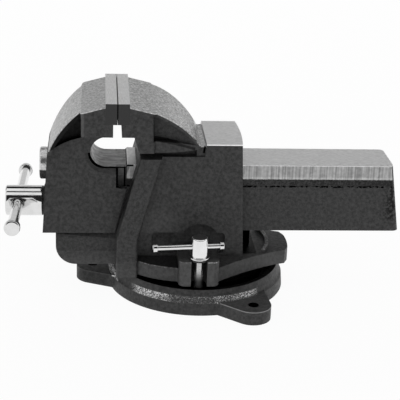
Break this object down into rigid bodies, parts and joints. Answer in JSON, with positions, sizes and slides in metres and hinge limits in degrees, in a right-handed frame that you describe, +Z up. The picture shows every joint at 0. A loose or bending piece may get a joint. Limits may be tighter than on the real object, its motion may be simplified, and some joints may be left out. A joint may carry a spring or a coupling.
{
  "type": "swivel bench vise",
  "caption": "Bench vise with a square beam, a screw with a sliding handle and an anvil, turning on a lugged base with two swivel locks.",
  "frame": {"origin": "centre of the base plate's underside, where the swivel's axis meets the bench", "axes": "+X from the screw's handle towards the rear end of the beam, +Z up, the near lock at -Y; the vise is closed"},
  "size_m": [0.5436, 0.3265, 0.278],
  "materials": {
    "base_casting": "semi-gloss black paint on a sand casting",
    "body_casting": "semi-gloss black paint on a sand casting, bare on the milled anvil top",
    "jaw_casting": "semi-gloss black paint on a sand casting, bare on the milled beam top and rails",
    "jaw_steel": "ground",
    "plain_steel": "machined",
    "nut_iron": "machined casting",
    "bright_chrome": "polished plating"
  },
  "bodies": {
    "base": {"base_plate": "base_casting"},
    "upper": {"fixed_body": "body_casting", "rear_jaw_plate": "jaw_steel", "rear_plate_screws": "plain_steel", "spindle_nut": "nut_iron", "nut_bolts": "plain_steel", "pivot_bolt": "plain_steel", "pivot_washer": "plain_steel", "pivot_nut": "plain_steel", "lock_stud_near": "bright_chrome", "lock_stud_far": "bright_chrome", "lock_washer_near": "bright_chrome", "lock_washer_far": "bright_chrome"},
    "jaw": {"sliding_jaw": "jaw_casting", "front_jaw_plate": "jaw_steel", "front_plate_screws": "plain_steel", "thrust_washer": "plain_steel"},
    "screw": {"spindle": "bright_chrome", "spindle_collar": "plain_steel", "collar_pin": "plain_steel"},
    "handle": {"handle_bar": "bright_chrome", "handle_cap_near": "bright_chrome", "handle_cap_far": "bright_chrome"},
    "near_lock_nut": {"lock_nut_near": "bright_chrome"},
    "near_lock_bar": {"lock_bar_near": "bright_chrome", "lock_bar_caps_near": "bright_chrome"},
    "far_lock_nut": {"lock_nut_far": "bright_chrome"},
    "far_lock_bar": {"lock_bar_far": "bright_chrome", "lock_bar_caps_far": "bright_chrome"}
  },
  "joints": [
    {"name": "swivel", "type": "hinge", "parent": "base", "child": "upper", "pos_m": [0, 0, 0.034], "axis": [0, 0, 1], "continuous": true},
    {"name": "jaw_slide", "type": "slide", "parent": "upper", "child": "jaw", "axis": [-1, 0, 0], "range_m": [0, 0.15]},
    {"name": "spindle_turn", "type": "hinge", "parent": "jaw", "child": "screw", "pos_m": [-0.2, 0, 0.117], "axis": [-1, 0, 0], "range_deg": [0, 9000]},
    {"name": "handle_slide", "type": "slide", "parent": "screw", "child": "handle", "axis": [0, 0.9954, -0.0958], "range_m": [-0.142, 0.104]},
    {"name": "near_lock_turn", "type": "hinge", "parent": "upper", "child": "near_lock_nut", "pos_m": [-0.0043, -0.102, 0.09], "axis": [0, 0, 1], "range_deg": [-40, 210]},
    {"name": "near_lock_bar_slide", "type": "slide", "parent": "near_lock_nut", "child": "near_lock_bar", "axis": [0.9962, 0.0872, 0], "range_m": [-0.011, 0.044]},
    {"name": "far_lock_turn", "type": "hinge", "parent": "upper", "child": "far_lock_nut", "pos_m": [-0.0043, 0.102, 0.09], "axis": [0, 0, 1], "range_deg": [-210, 40]},
    {"name": "far_lock_bar_slide", "type": "slide", "parent": "far_lock_nut", "child": "far_lock_bar", "axis": [0.9962, -0.0872, 0], "range_m": [-0.011, 0.044]}
  ],
  "couplings": [
    {"joint": "jaw_slide", "follows": "spindle_turn", "m_per_rad": 0.00095492}
  ]
}
